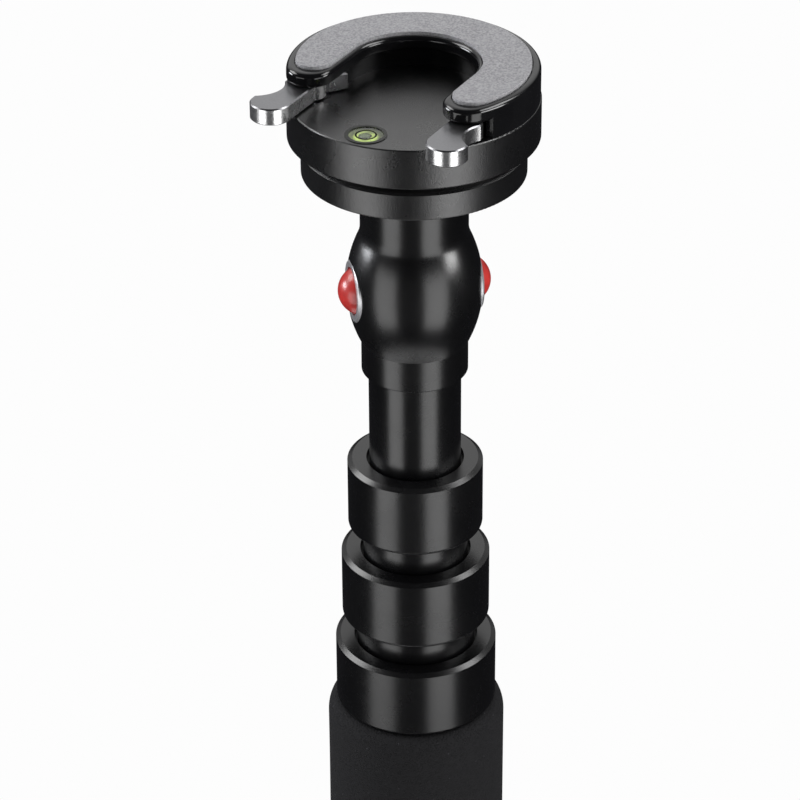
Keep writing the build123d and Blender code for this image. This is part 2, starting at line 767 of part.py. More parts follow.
with BuildPart() as jaw_ring:
    with BuildSketch(mouth.offset(plate_bottom)):
        add(u_outline(ring_radius, socket_radius, tip_front))
    extrude(amount=plate_thickness)
    fillet(jaw_ring.edges().group_by(Axis.Z)[-1], plate_edge)
    fillet(jaw_ring.edges().group_by(Axis.Z)[0], plate_under_edge)
    with BuildSketch(mouth.offset(floor)):
        Circle(ring_radius)
        Circle(wall_radius, mode=Mode.SUBTRACT)
        with Locations((wall_end / 2, 0)):
            Rectangle(wall_end, 2 * wall_radius, mode=Mode.SUBTRACT)
        with Locations((wall_end + ring_radius / 2, 0)):
            Rectangle(ring_radius, 2 * ring_radius, mode=Mode.SUBTRACT)
    extrude(amount=plate_bottom + plate_under_edge - floor)
    with BuildSketch(mouth.offset(floor)):
        with Locations(*pivot_places):
            Circle(lever_pocket)
        Circle(ring_radius - pocket_skin, mode=Mode.INTERSECT)
    extrude(amount=plate_bottom - floor, mode=Mode.SUBTRACT)
    with BuildSketch(mouth.offset(plate_top - pad_depth)):
        add(u_outline(pad_outer + pad_groove, pad_inner - pad_groove, pad_front + pad_groove))
    extrude(amount=pad_depth, mode=Mode.SUBTRACT)
    with BuildSketch(mouth.offset(floor)):
        with Locations(*screw_places):
            Circle(ring_screw_radius)
    extrude(amount=ring_screw_top - floor, mode=Mode.SUBTRACT)
    with BuildSketch(mouth.offset(floor)):
        with Locations(*pivot_places):
            Circle(lever_pin_radius)
    extrude(amount=lever_pin_top - floor, mode=Mode.SUBTRACT)
jaw_ring.part.label = "jaw_ring"
export_step(jaw_ring.part, "parts/jaw_ring.step")

with BuildPart() as grip_pad:
    with BuildSketch(mouth.offset(plate_top - pad_depth)):
        add(u_outline(pad_outer, pad_inner, pad_front))
    extrude(amount=pad_depth + pad_stand)
grip_pad.part.label = "grip_pad"
export_step(grip_pad.part, "parts/grip_pad.step")

# Levers, pins and springs: the left one is the right one mirrored across the mouth's axis
finger_inner = wall_radius + lever_inset
finger_outer = finger_inner + finger_width
for name, hand in (("left", -1), ("right", 1)):
    scallop_start = (finger_reach - 1.2 * finger_corner, hand * finger_outer)
    scallop_end = (pivot_x + 2.8, hand * (pivot_y + 4.2))
    tooth = (pivot_x - 5.9, hand * (pivot_y - 4.9))
    with BuildPart() as lever:
        with BuildSketch(mouth.offset(lever_bottom)) as lever_outline:
            with BuildLine():
                Polyline(
                    scallop_end,
                    (pivot_x + 1.4, hand * (pivot_y + 4.0)),
                    (pivot_x + 1.2, hand * (pivot_y + 2.5)),
                    (pivot_x - 2.6, hand * (pivot_y + 1.2)),
                    (pivot_x - 6.2, hand * (pivot_y - 0.6)),
                    (pivot_x - 7.6, hand * (pivot_y - 2.6)),
                    (pivot_x - 7.0, hand * (pivot_y - 3.9)),
                    tooth,
                    (pivot_x - 2.2, hand * finger_inner),
                    (finger_reach, hand * finger_inner),
                    (finger_reach, hand * finger_outer),
                    scallop_start,
                )
                ThreePointArc(
                    scallop_start,
                    (pivot_x + 6.0, hand * (pivot_y + 3.05)),
                    scallop_end,
                )
            make_face()
            with Locations((pivot_x, hand * pivot_y)):
                Circle(lever_hub)
            corners = lever_outline.vertices().filter_by(lambda v: v.X > finger_reach - 0.01)
            fillet(corners, finger_corner)
        extrude(amount=lever_thickness)
        chamfer(lever.edges().group_by(Axis.Z)[-1], lever_edge)
        chamfer(lever.edges().group_by(Axis.Z)[0], lever_edge)
        with BuildSketch(mouth.offset(lever_bottom)):
            with Locations((pivot_x, hand * pivot_y)):
                Circle(lever_pin_radius + running_fit)
        extrude(amount=lever_thickness, mode=Mode.SUBTRACT)
    lever.part.label = f"{name}_lever"
    export_step(lever.part, f"parts/{name}_lever.step")

    with BuildPart() as lever_pin:
        with BuildSketch(mouth.offset(lever_pin_bottom)):
            with Locations((pivot_x, hand * pivot_y)):
                Circle(lever_pin_radius)
        extrude(amount=lever_pin_top - lever_pin_bottom)
    lever_pin.part.label = f"{name}_lever_pin"
    export_step(lever_pin.part, f"parts/{name}_lever_pin.step")

    spring_x = pivot_x - lever_hub - lever_spring_radius - lever_spring_wire
    spring_start = pivot_y + spring_seat
    pocket_wall = sqrt((ring_radius - pocket_skin) ** 2 - (spring_x + lever_spring_radius) ** 2)
    pocket_round = pivot_y + sqrt(lever_pocket**2 - (pivot_x - spring_x + lever_spring_radius) ** 2)
    spring_end = min(pocket_wall, pocket_round)
    foot = mouth.from_local_coords((spring_x, hand * spring_start, lever_bottom + lever_thickness / 2))
    lever_spring = coil(
        lever_spring_wire, lever_spring_radius, spring_end - spring_start,
        lever_spring_turns, foot, mouth.y_dir * hand,
    )
    lever_spring.part.label = f"{name}_lever_spring"
    export_step(lever_spring.part, f"parts/{name}_lever_spring.step")

# Bubble level: a cup in the floor, its liquid and the window over it
level_axis = Plane(origin=mouth.from_local_coords((level_reach, level_side, floor - level_depth)))
window_bottom = level_depth - level_window
with BuildPart() as level_cup:
    with BuildSketch(level_axis):
        Circle(level_radius)
    extrude(amount=level_depth + level_stand)
    with BuildSketch(level_axis.offset(level_wall)):
        Circle(level_radius - level_wall)
    extrude(amount=level_depth, mode=Mode.SUBTRACT)
level_cup.part.label = "level_cup"
export_step(level_cup.part, "parts/level_cup.step")

with BuildPart() as level_liquid:
    with BuildSketch(level_axis.offset(level_wall)):
        Circle(level_radius - level_wall)
    extrude(amount=window_bottom - level_wall)
level_liquid.part.label = "level_liquid"
export_step(level_liquid.part, "parts/level_liquid.step")

with BuildPart() as level_glass:
    with BuildSketch(level_axis.offset(window_bottom)):
        Circle(level_radius - level_wall)
    extrude(amount=level_window)
level_glass.part.label = "level_glass"
export_step(level_glass.part, "parts/level_glass.step")
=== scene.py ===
"""Finishes, soft pieces, studio and camera for a telescopic camera pole on a folding base."""
from __future__ import annotations

import json
import logging
import math
import random
from collections.abc import Callable, Sequence
from dataclasses import dataclass
from enum import Enum
from functools import cached_property

import bmesh
import bpy
from mathutils import Matrix, Vector

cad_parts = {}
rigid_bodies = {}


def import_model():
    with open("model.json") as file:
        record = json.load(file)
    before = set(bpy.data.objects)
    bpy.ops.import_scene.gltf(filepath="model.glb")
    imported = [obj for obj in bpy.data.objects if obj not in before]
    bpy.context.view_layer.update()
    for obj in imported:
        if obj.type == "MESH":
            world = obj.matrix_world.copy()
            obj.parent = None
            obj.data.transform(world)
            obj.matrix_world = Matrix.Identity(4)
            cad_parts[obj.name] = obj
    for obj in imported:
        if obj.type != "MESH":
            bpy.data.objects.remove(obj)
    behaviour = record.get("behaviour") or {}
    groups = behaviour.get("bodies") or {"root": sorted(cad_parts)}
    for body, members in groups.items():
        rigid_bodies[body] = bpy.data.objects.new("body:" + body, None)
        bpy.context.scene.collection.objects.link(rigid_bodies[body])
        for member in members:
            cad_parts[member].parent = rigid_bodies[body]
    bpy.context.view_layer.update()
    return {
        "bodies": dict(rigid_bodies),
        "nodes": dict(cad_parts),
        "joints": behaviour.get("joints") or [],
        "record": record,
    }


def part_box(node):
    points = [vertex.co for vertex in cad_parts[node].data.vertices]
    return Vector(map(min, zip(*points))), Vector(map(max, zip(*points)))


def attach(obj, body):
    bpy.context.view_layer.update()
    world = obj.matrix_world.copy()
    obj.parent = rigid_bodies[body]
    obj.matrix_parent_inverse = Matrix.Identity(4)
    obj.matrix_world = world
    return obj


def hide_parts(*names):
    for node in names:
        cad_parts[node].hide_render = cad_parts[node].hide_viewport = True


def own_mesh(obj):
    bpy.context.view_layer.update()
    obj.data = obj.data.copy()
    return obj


log = logging.getLogger("camera_pole")

Tree = bpy.types.NodeTree
Node = bpy.types.Node
Socket = bpy.types.NodeSocket
Sockets = bpy.types.bpy_prop_collection
Value = Socket | float | int | bool | Sequence[float]
Span = tuple[float, float]
Place = tuple[float, float, float]
Colour = tuple[float, float, float]
Profile = list[Span]

PAPER_WHITE: Colour = (0.982, 0.982, 0.982)
QUARTER_TURN = math.pi / 2
HANDS = ("left", "right")


class Body(str, Enum):
    """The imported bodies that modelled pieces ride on."""

    BASE = "base"
    TOP_SECTION = "top_section"
    FRONT_LEG = "front_leg"
    RIGHT_LEG = "right_leg"
    LEFT_LEG = "left_leg"


class Slot(str, Enum):
    """The record's material slots that modelled pieces take their finish from."""

    STEEL = "steel"
    FOAM = "foam"
    FOOT_RUBBER = "foot_rubber"
    BLACK_PLASTIC = "black_plastic"
    LEVEL_GLASS = "level_glass"


class Graph:
    """A node tree that is filled with one call for each node."""

    # A Mix node has an input and an output of the same names for each type of data.
    MIX_COLOURS = (6, 7)
    MIX_RESULT = 2

    def __init__(self, tree: Tree) -> None:
        """Empties the tree and keeps it.

        Args:
            tree: The node tree of a material, a world or a group.
        """
        self.tree = tree
        tree.nodes.clear()

    def feed(self, node: Node, inputs: dict[str | int, Value]) -> None:
        """Links or sets a node's inputs.

        Args:
            node: The node.
            inputs: A socket to link, or a plain value, for each input by name or number.
        """
        for key, value in inputs.items():
            if isinstance(value, Socket):
                self.tree.links.new(value, node.inputs[key])
            else:
                node.inputs[key].default_value = value

    def node(
        self, kind: str, inputs: dict[str | int, Value] | None = None, **settings: object
    ) -> Node:
        """Adds one node.

        Args:
            kind: The node's type name.
            inputs: A socket to link, or a plain value, for each input by name or number.
            settings: The node's own settings.

        Returns:
            The new node.
        """
        made = self.tree.nodes.new(kind)
        for name, value in settings.items():
            setattr(made, name, value)
        self.feed(made, inputs or {})
        return made

    def math(self, operation: str, *values: Value) -> Socket:
        """Adds a Math node over the values and returns its result."""
        return self.node("ShaderNodeMath", dict(enumerate(values)), operation=operation).outputs[0]

    def share(self, value: Value, part: Value) -> Socket:
        """A part of a value."""
        return self.math("MULTIPLY", value, part)

    def spread(
        self, value: Value, low: float, high: float, to_low: float = 0.0, to_high: float = 1.0
    ) -> Socket:
        """Maps a value from one range to another with soft ends.

        Args:
            value: The value to map.
            low: The start of its range.
            high: The end of its range.
            to_low: The result at and before the start.
            to_high: The result at and after the end.

        Returns:
            The mapped value.
        """
        inputs = {0: value, 1: low, 2: high, 3: to_low, 4: to_high}
        return self.node("ShaderNodeMapRange", inputs, interpolation_type="SMOOTHSTEP").outputs[0]

    def blend(self, amount: Value, first: Value, second: Value) -> Socket:
        """Mixes two colours.

        Args:
            amount: The share of the second colour, from 0 to 1.
            first: The first colour, a socket or three numbers.
            second: The second colour, a socket or three numbers.

        Returns:
            The mixed colour.
        """
        made = self.node("ShaderNodeMix", {0: amount}, data_type="RGBA")
        for key, value in zip(self.MIX_COLOURS, (first, second)):
            linked = isinstance(value, Socket)
            self.feed(made, {key: value if linked else (*value, 1.0)})
        return made.outputs[self.MIX_RESULT]

    def parts(self, vector: Value) -> Sockets:
        """Splits a vector and returns its three parts."""
        return self.node("ShaderNodeSeparateXYZ", {0: vector}).outputs

    def radius(self, parts: Sequence[Value]) -> Socket:
        """The distance of a split place from the pole's axis."""
        squares = [self.share(parts[i], parts[i]) for i in (0, 1)]
        return self.math("SQRT", self.math("ADD", *squares))

    def ray(self, kind: str) -> Socket:
        """One for the rays of a kind, and nought for all others."""
        return self.node("ShaderNodeLightPath").outputs[f"Is {kind} Ray"]

    def mirrored(self) -> Socket:
        """One for the rays that leave a mirror or glass, and nought for all others."""
        return self.math("MAXIMUM", self.ray("Glossy"), self.ray("Transmission"))


class EffectGraph(Graph):
    """The graph of a shared group, whose one input is the scale that a material asks for."""

    SOCKET_KIND = "NodeSocketFloat"

    def __init__(self, name: str, usual_scale: float) -> None:
        """Starts the group.

        Args:
            name: The group's name.
            usual_scale: The usual value of its input.
        """
        super().__init__(bpy.data.node_groups.new(name, "ShaderNodeTree"))
        made = self.tree.interface.new_socket("Scale", in_out="INPUT", socket_type=self.SOCKET_KIND)
        made.default_value = usual_scale
        self.place = self.node("ShaderNodeTexCoord").outputs["Object"]
        self.scale = self.node("NodeGroupInput").outputs["Scale"]

    def noise(
        self, scale: Value, detail: float, place: Socket | None = None, **more: Value
    ) -> Socket:
        """Adds a noise.

        Args:
            scale: Its scale.
            detail: The number of finer layers.
            place: Where it is read. The place on the object where it isn't given.
            more: Its other inputs by name.

        Returns:
            The noise, from 0 to 1.
        """
        inputs = {"Vector": place or self.place, "Scale": scale, "Detail": detail, **more}
        return self.node("ShaderNodeTexNoise", inputs).outputs[0]

    def cells(self, scale: Value) -> Sockets:
        """Adds a pattern of round cells and returns its outputs."""
        return self.node("ShaderNodeTexVoronoi", {"Vector": self.place, "Scale": scale}).outputs

    def flecks(self, scale: Value, rarity: float, edge: float, core: float) -> Socket:
        """Dots in the middle of a few cells.

        Args:
            scale: The cells' scale.
            rarity: How bright a cell's own random colour has to be to hold a dot.
            edge: Where the dot ends, as a distance in the cell.
            core: Where the dot is full.

        Returns:
            The mask, from 0 to 1.
        """
        cells = self.cells(scale)
        lone = self.math("GREATER_THAN", cells["Color"], rarity)
        return self.share(lone, self.spread(cells["Distance"], edge, core))

    def finish(self, results: dict[str, Value]) -> Tree:
        """Adds the group's outputs.

        Args:
            results: What feeds each output, by its name.

        Returns:
            The finished group.
        """
        for label in results:
            self.tree.interface.new_socket(label, in_out="OUTPUT", socket_type=self.SOCKET_KIND)
        self.node("NodeGroupOutput", results)
        return self.tree


class Effects:
    """The surface effects that the materials share, each a node group built at its first use.

    A fleck is given as its rarity, its edge and its core.
    """

    MIDTONES: Span = (0.3, 0.7)
    SWELL_SCALE = 0.23
    SWELL_HEIGHT = 0.35
    GRAIN_FLECK = (0.72, 0.42, 0.18)
    CLOUD: Span = (0.38, 0.66)
    PIT: Span = (0.1, 0.6)
    SKIN_SCALE = 0.35
    SKIN_HEIGHT = 0.8
    SKIN_SHADE: Span = (0.55, 1.0)
    DOT_SCALE = 0.45
    FOAM_FLECK = (0.80, 0.20, 0.08)

    @cached_property
    def grain(self) -> Tree:
        """The fine pits and bright specks of a blasted or moulded surface."""
        graph = EffectGraph("surface_grain", usual_scale=4000.0)
        fine = graph.noise(graph.scale, detail=3.0, Roughness=0.6)
        swell = graph.noise(graph.share(graph.scale, self.SWELL_SCALE), detail=1.0)
        return graph.finish({
            "Height": graph.math("MULTIPLY_ADD", swell, self.SWELL_HEIGHT, fine),
            "Shade": graph.spread(fine, *self.MIDTONES),
            "Fleck": graph.flecks(graph.scale, *self.GRAIN_FLECK),
        })

    @cached_property
    def handling(self) -> Tree:
        """The faint large patches that hands leave on a smooth surface."""
        graph = EffectGraph("handling_marks", usual_scale=60.0)
        cloud = graph.noise(graph.scale, detail=5.0, Roughness=0.62, Distortion=0.4)
        return graph.finish({"Mask": graph.spread(cloud, *self.CLOUD)})

    @cached_property
    def turning(self) -> Tree:
        """The hair-fine rings that a lathe leaves round the pole's axis."""
        graph = EffectGraph("turning_rings", usual_scale=5000.0)
        parts = graph.parts(graph.place)
        section = {0: graph.radius(parts), 1: parts[2]}
        rings = graph.node("ShaderNodeCombineXYZ", section).outputs[0]
        return graph.finish({"Height": graph.noise(graph.scale, detail=2.0, place=rings)})

    @cached_property
    def foam_cells(self) -> Tree:
        """The open cells and stray light dots of a foam's skin."""
        graph = EffectGraph("foam_cells", usual_scale=2400.0)
        pit = graph.spread(graph.cells(graph.scale)["Distance"], *self.PIT)
        skin_scale = graph.share(graph.scale, self.SKIN_SCALE)
        skin = graph.noise(skin_scale, detail=4.0, Roughness=0.7)
        tone = graph.spread(skin, *self.MIDTONES, *self.SKIN_SHADE)
        return graph.finish({
            "Height": graph.math("MULTIPLY_ADD", skin, self.SKIN_HEIGHT, pit),
            "Shade": graph.share(pit, tone),
            "Fleck": graph.flecks(graph.share(graph.scale, self.DOT_SCALE), *self.FOAM_FLECK),
        })


class Paint(Graph):
    """A material's graph, which places the shared effects at its finish's own scales."""

    def __init__(self, tree: Tree, finish: Finish, effects: Effects) -> None:
        """Keeps what the effects need.

        Args:
            tree: The material's node tree.
            finish: The finish that it gets.
            effects: The shared node groups.
        """
        super().__init__(tree)
        self.finish = finish
        self.effects = effects

    def effect(self, tree: Tree, scale: float) -> Sockets:
        """Places a shared effect and returns its outputs."""
        return self.node("ShaderNodeGroup", {"Scale": scale}, node_tree=tree).outputs

    @cached_property
    def marks(self) -> Socket:
        """The mask of the hand marks."""
        return self.effect(self.effects.handling, self.finish.marks_scale)["Mask"]

    @cached_property
    def grain(self) -> Sockets:
        """The outputs of the finish's texture."""
        return self.effect(self.finish.texture(self.effects), self.finish.grain_scale)

    @cached_property
    def upright(self) -> Socket:
        """How level a face is: one where its normal points straight up or down."""
        normal = self.node("ShaderNodeNewGeometry").outputs["True Normal"]
        return self.math("ABSOLUTE", self.parts(normal)[2])


@dataclass(frozen=True)
class Finish:
    """A finish that makes one material. Lengths are in metres, and scales are per metre.

    Without a roughness_swing its roughness is even, and without a grain_height it has no relief.
    """

    name: str
    roughness: float = 0.5
    roughness_swing: float = 0.05
    marks_scale: float = 80.0
    grain_scale: float = 2600.0
    grain_height: float = 0.000006
    specular: float = 0.5
    metallic: float = 0.0

    def material(self, effects: Effects) -> bpy.types.Material:
        """Makes the material.

        Args:
            effects: The shared node groups.

        Returns:
            The new material, with this finish's name.
        """
        made = bpy.data.materials.new(self.name)
        made.use_nodes = True
        graph = Paint(made.node_tree, self, effects)
        shader = graph.node("ShaderNodeBsdfPrincipled", {
            "Base Color": self.tone(graph), "Roughness": self.rubbed(graph),
            "Specular IOR Level": self.specular, "Metallic": self.metallic, **self.extras(),
        })
        if self.grain_height:
            graph.feed(shader, {"Normal": self.relief(graph)})
        graph.node("ShaderNodeOutputMaterial", {"Surface": self.surface(graph, shader)})
        return made

    def tone(self, graph: Paint) -> Socket:
        """The colour over the surface."""
        raise NotImplementedError

    def texture(self, effects: Effects) -> Tree:
        """The effect that shows in the relief."""
        return effects.grain

    def clean(self, graph: Paint) -> Value:
        """The roughness where no hand has been."""
        return self.roughness

    def rubbed(self, graph: Paint) -> Value:
        """The roughness with the hand marks in it.

        Args:
            graph: The material's graph.

        Returns:
            A socket, or the plain number where the finish is even.
        """
        if not self.roughness_swing:
            return self.roughness
        return graph.math("MULTIPLY_ADD", graph.marks, self.roughness_swing, self.clean(graph))

    def relief(self, graph: Paint) -> Socket:
        """The normal with the texture's height in it."""
        inputs = {"Height": graph.grain["Height"], "Distance": self.grain_height, "Strength": 1.0}
        return graph.node("ShaderNodeBump", inputs).outputs[0]

    def extras(self) -> dict[str, Value]:
        """The shader's other inputs, each the same all over."""
        return {}

    def surface(self, graph: Paint, shader: Node) -> Socket:
        """What the material shows, which is the plain shader for most finishes."""
        return shader.outputs[0]


@dataclass(frozen=True)
class Anodised(Finish):
    """Black anodised aluminium: blasted, then dyed, with a fine grain that catches the light."""

    roughness: float = 0.25
    roughness_swing: float = 0.04
    marks_scale: float = 55.0
    grain_scale: float = 4200.0
    grain_height: float = 0.000008
    specular: float = 0.65
    colour: Colour = (0.0020, 0.0020, 0.0023)
    fleck_colour: Colour = (0.009, 0.009, 0.010)

    def tone(self, graph: Paint) -> Socket:
        """The dye's black with paler specks."""
        return graph.blend(graph.grain["Fleck"], self.colour, self.fleck_colour)


@dataclass(frozen=True)
class GlossBlack(Finish):
    """Smooth black lacquer, such as the jaw plate has, with the faintest orange peel."""

    roughness: float = 0.13
    marks_scale: float = 90.0
    grain_scale: float = 900.0
    colour: Colour = (0.0045, 0.0045, 0.0050)
    marks_tone: float = 1.3

    def tone(self, graph: Paint) -> Socket:
        """The lacquer's black, a little paler in the hand marks."""
        marked = tuple(self.marks_tone * c for c in self.colour)
        return graph.blend(graph.marks, self.colour, marked)


@dataclass(frozen=True)
class PadGrain(Finish):
    """The grey inlay of the jaw plate: a dense, fine-pebbled rubber."""

    roughness: float = 0.74
    roughness_swing: float = -0.06
    marks_scale: float = 70.0
    grain_scale: float = 2300.0
    grain_height: float = 0.00006
    specular: float = 0.25
    colour: Colour = (0.420, 0.417, 0.432)
    dark: Colour = (0.240, 0.238, 0.250)
    worn: Colour = (0.42, 0.417, 0.43)
    worn_share: float = 0.12

    def tone(self, graph: Paint) -> Socket:
        """Grey pebbles, and fewer dark pits where hands have worn them."""
        pebble = graph.blend(graph.grain["Shade"], self.dark, self.colour)
        return graph.blend(graph.share(graph.marks, self.worn_share), pebble, self.worn)


@dataclass(frozen=True)
class Metal(Finish):
    """A bare metal with a fine draw or polish, or with lathe rings."""

    roughness: float = 0.12
    roughness_swing: float = 0.08
    marks_scale: float = 220.0
    grain_height: float = 0.000004
    metallic: float = 1.0
    colour: Colour = (0.72, 0.72, 0.73)
    tint: Colour = (0.60, 0.60, 0.62)
    ringed: bool = False

    def tone(self, graph: Paint) -> Socket:
        """The metal's colour, tinted in the hand marks."""
        return graph.blend(graph.marks, self.colour, self.tint)

    def texture(self, effects: Effects) -> Tree:
        """Lathe rings on a turned piece, and polish on any other."""
        return effects.turning if self.ringed else effects.grain


@dataclass(frozen=True)
class Brushed(Finish):
    """The levers' metal: polished bright sides, satin flat faces and chamfers with a painted shade.
    """

    roughness: float = 0.25
    marks_scale: float = 240.0
    grain_scale: float = 3200.0
    grain_height: float = 0.000012
    metallic: float = 1.0
    colour: Colour = (0.80, 0.80, 0.80)
    # Painted shade: the darker metal colour of the flat faces and chamfers.
    face: Colour = (0.26, 0.26, 0.27)
    face_roughness: float = 0.30
    face_slope: Span = (0.35, 0.70)
    dull: Colour = (0.17, 0.17, 0.18)
    dull_share: float = 0.30

    def flat(self, graph: Paint) -> Socket:
        """The mask of the flat faces and their chamfers, rougher and in a painted shade."""
        return graph.spread(graph.upright, *self.face_slope)

    def tone(self, graph: Paint) -> Socket:
        """Bright on the sides and a painted grey shade on the flat faces, dulled by the grain."""
        metal = graph.blend(self.flat(graph), self.colour, self.face)
        return graph.blend(graph.share(graph.grain["Shade"], self.dull_share), metal, self.dull)

    def clean(self, graph: Paint) -> Socket:
        """Smoother on the sides than on the flat faces."""
        step = self.face_roughness - self.roughness
        return graph.math("MULTIPLY_ADD", self.flat(graph), step, self.roughness)


@dataclass(frozen=True)
class ButtonPlastic(Finish):
    """The buttons' glossy red plastic under a clear coat."""

    roughness: float = 0.30
    roughness_swing: float = 0.08
    marks_scale: float = 260.0
    grain_height: float = 0.0
    colour: Colour = (0.50, 0.034, 0.029)
    deep: Colour = (0.37, 0.020, 0.018)
    coat: float = 0.3
    coat_roughness: float = 0.14

    def tone(self, graph: Paint) -> Socket:
        """Red with slow patches of a deeper red."""
        return graph.blend(graph.marks, self.colour, self.deep)

    def extras(self) -> dict[str, Value]:
        """The clear coat."""
        return {"Coat Weight": self.coat, "Coat Roughness": self.coat_roughness}


@dataclass(frozen=True)
class Moulded(Finish):
    """A moulded plastic or rubber with a fine matt grain."""

    roughness: float = 0.58
    roughness_swing: float = -0.08
    grain_height: float = 0.00002
    colour: Colour = (0.022, 0.022, 0.023)
    pale: Colour = (0.034, 0.034, 0.035)
    pale_share: float = 0.6

    def tone(self, graph: Paint) -> Socket:
        """Dark in the grain's pits and paler on its tops."""
        share = graph.share(graph.grain["Shade"], self.pale_share)
        return graph.blend(share, self.colour, self.pale)


@dataclass(frozen=True)
class Foam(Finish):
    """Matt black closed-cell foam with tiny pits and a few light dots."""

    roughness: float = 0.85
    roughness_swing: float = 0.0
    grain_scale: float = 2400.0
    grain_height: float = 0.00012
    specular: float = 0.25
    pit: Colour = (0.0045, 0.0045, 0.0052)
    skin: Colour = (0.0095, 0.0093, 0.0106)
    dot: Colour = (0.050, 0.049, 0.055)

    def tone(self, graph: Paint) -> Socket:
        """Dark pits in a paler skin, with light dots."""
        body = graph.blend(graph.grain["Shade"], self.pit, self.skin)
        return graph.blend(graph.grain["Fleck"], body, self.dot)

    def texture(self, effects: Effects) -> Tree:
        """The foam's cells."""
        return effects.foam_cells


@dataclass(frozen=True)
class LevelLiquid(Finish):
    """The level's tinted liquid: grey-green, with a painted patch of light in bright yellow-green.
    """

    roughness: float = 0.14
    marks_scale: float = 700.0
    grain_scale: float = 900.0
    grain_height: float = 0.000002
    deep: Colour = (0.20, 0.22, 0.16)
    # Painted light: the bright colour, its middle and its reach make the painted patch of light.
    bright: Colour = (0.90, 0.98, 0.46)
    pool: Place = (-0.0096, -0.0188, 0.5305)
    reach: Span = (0.0046, 0.0022)
    stir: float = 0.0006

    def tone(self, graph: Paint) -> Socket:
        """Blends the liquid's tint into the painted patch of light, with slow streaks between them.

        Args:
            graph: The material's graph.

        Returns:
            The colour over the surface.
        """
        place = graph.node("ShaderNodeTexCoord").outputs["Object"]
        inputs = {0: place, 1: self.pool}
        away = graph.node("ShaderNodeVectorMath", inputs, operation="DISTANCE").outputs["Value"]
        stirred = graph.math("MULTIPLY_ADD", graph.marks, self.stir, away)
        return graph.blend(graph.spread(stirred, *self.reach), self.deep, self.bright)


@dataclass(frozen=True)
class LevelBubble(Finish):
    """The air bubble: painted light where it is flat, painted shade round its curved rim."""

    roughness: float = 0.08
    roughness_swing: float = 0.04
    marks_scale: float = 900.0
    grain_scale: float = 1200.0
    grain_height: float = 0.000001
    # Painted shade on the rim and painted light on the flat top, chosen by the surface's slope.
    rim: Colour = (0.008, 0.012, 0.006)
    crown: Colour = (0.10, 0.13, 0.08)
    crown_slope: Span = (0.86, 0.995)

    def tone(self, graph: Paint) -> Socket:
        """Paints light on the flat top and shade round the rim, by the upright part of the smooth
        normal.

        Args:
            graph: The material's graph.

        Returns:
            The colour over the surface.
        """
        normal = graph.node("ShaderNodeNewGeometry").outputs["Normal"]
        flat = graph.spread(graph.parts(normal)[2], *self.crown_slope)
        return graph.blend(flat, self.rim, self.crown)


@dataclass(frozen=True)
class Clear(Finish):
    """Clear acrylic that lets the lamps' light through to what lies under it."""

    roughness: float = 0.03
    roughness_swing: float = 0.0
    marks_scale: float = 400.0
    grain_height: float = 0.0
    colour: Colour = (0.90, 0.94, 0.82)
    cloud_tone: float = 0.92
    cloud_share: float = 0.3
    index: float = 1.47
    transmission: float = 1.0

    def tone(self, graph: Paint) -> Socket:
        """The acrylic's tint with the faintest cloud."""
        cloud = tuple(self.cloud_tone * c for c in self.colour)
        return graph.blend(graph.share(graph.marks, self.cloud_share), self.colour, cloud)

    def extras(self) -> dict[str, Value]:
        """What makes it clear."""
        return {"IOR": self.index, "Transmission Weight": self.transmission}

    def surface(self, graph: Paint, shader: Node) -> Socket:
        """The shader, see-through for the rays that look for a lamp.

        Args:
            graph: The material's graph.
            shader: The material's shader.

        Returns:
            What the material shows.
        """
        through = graph.node("ShaderNodeBsdfTransparent", {"Color": (*self.colour, 1.0)})
        inputs = {0: graph.ray("Shadow"), 1: shader.outputs[0], 2: through.outputs[0]}
        return graph.node("ShaderNodeMixShader", inputs).outputs[0]


def placed(name: str, data: bpy.types.ID) -> bpy.types.Object:
    """Adds an object to the scene.

    Args:
        name: The object's name.
        data: Its mesh, light or camera.

    Returns:
        The object.
    """
    made = bpy.data.objects.new(name, data)
    bpy.context.scene.collection.objects.link(made)
    return made


def placed_mesh(name: str, mesh: bmesh.types.BMesh) -> bpy.types.Object:
    """Adds an object with a mesh to the scene.

    Args:
        name: The object's name.
        mesh: Its mesh, which is freed here.

    Returns:
        The object.
    """
    data = bpy.data.meshes.new(name)
    mesh.to_mesh(data)
    mesh.free()
    return placed(name, data)


